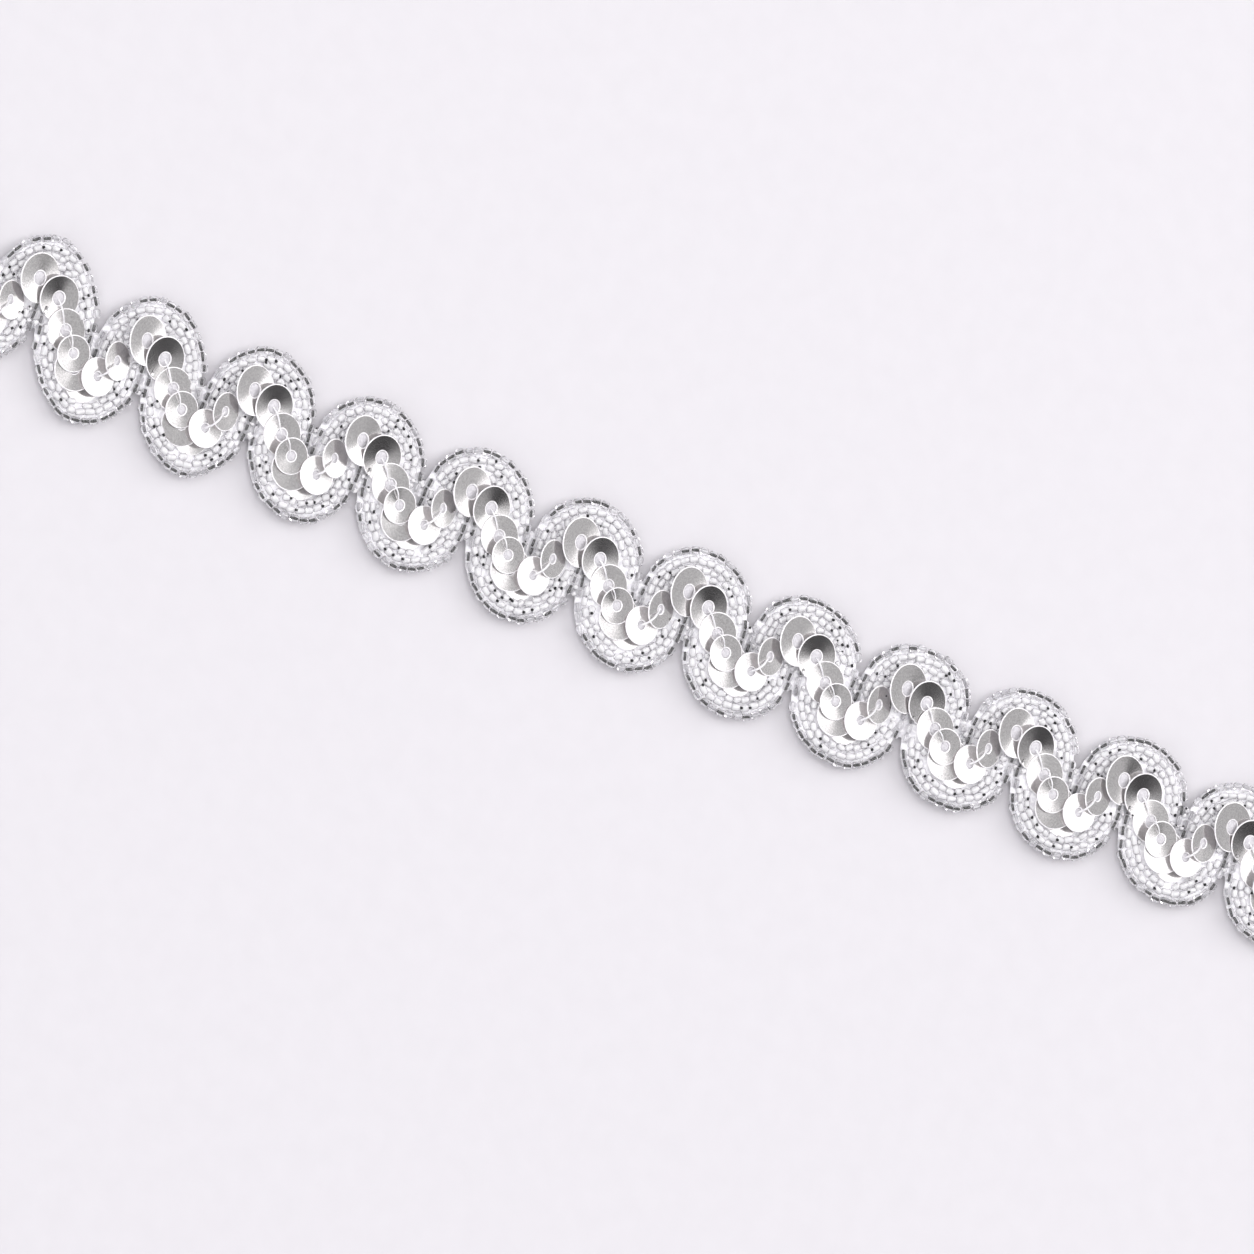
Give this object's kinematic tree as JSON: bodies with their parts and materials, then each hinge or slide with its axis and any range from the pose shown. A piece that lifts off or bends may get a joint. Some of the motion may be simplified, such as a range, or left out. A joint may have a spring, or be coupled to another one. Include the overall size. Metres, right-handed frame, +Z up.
{
  "type": "beaded sequin trim",
  "caption": "Narrow waved trim of overlapping silver sequins on a net ground, edged with clear silver-lined glass beads, lying flat.",
  "frame": {"origin": "under the middle of the trim, on the surface it lies on", "axes": "+X along the trim, +Y across it, +Z up out of its beaded face"},
  "size_m": [0.2684, 0.0274, 0.0038],
  "materials": {
    "ground_net": "fine translucent white net with sewing threads",
    "glass_bead": "clear silver-lined glass tube beads",
    "sequin": "bright silver metallised film"
  },
  "bodies": {
    "root": {"ground": "ground_net", "edge_row_upper": "glass_bead", "edge_row_lower": "glass_bead", "inner_row_upper_01": "glass_bead", "inner_row_upper_02": "glass_bead", "inner_row_upper_03": "glass_bead", "inner_row_upper_04": "glass_bead", "inner_row_upper_05": "glass_bead", "inner_row_upper_06": "glass_bead", "inner_row_upper_07": "glass_bead", "inner_row_upper_08": "glass_bead", "inner_row_upper_09": "glass_bead", "inner_row_upper_10": "glass_bead", "inner_row_upper_11": "glass_bead", "inner_row_upper_12": "glass_bead", "inner_row_upper_13": "glass_bead", "inner_row_upper_14": "glass_bead", "inner_row_lower_01": "glass_bead", "inner_row_lower_02": "glass_bead", "inner_row_lower_03": "glass_bead", "inner_row_lower_04": "glass_bead", "inner_row_lower_05": "glass_bead", "inner_row_lower_06": "glass_bead", "inner_row_lower_07": "glass_bead", "inner_row_lower_08": "glass_bead", "inner_row_lower_09": "glass_bead", "inner_row_lower_10": "glass_bead", "inner_row_lower_11": "glass_bead", "inner_row_lower_12": "glass_bead", "inner_row_lower_13": "glass_bead", "sequin_run_01": "sequin", "sequin_run_02": "sequin", "sequin_run_03": "sequin", "sequin_run_04": "sequin", "sequin_run_05": "sequin", "sequin_run_06": "sequin", "sequin_run_07": "sequin", "sequin_run_08": "sequin", "sequin_run_09": "sequin", "sequin_run_10": "sequin", "sequin_run_11": "sequin", "sequin_run_12": "sequin", "sequin_run_13": "sequin"}
  },
  "joints": []
}
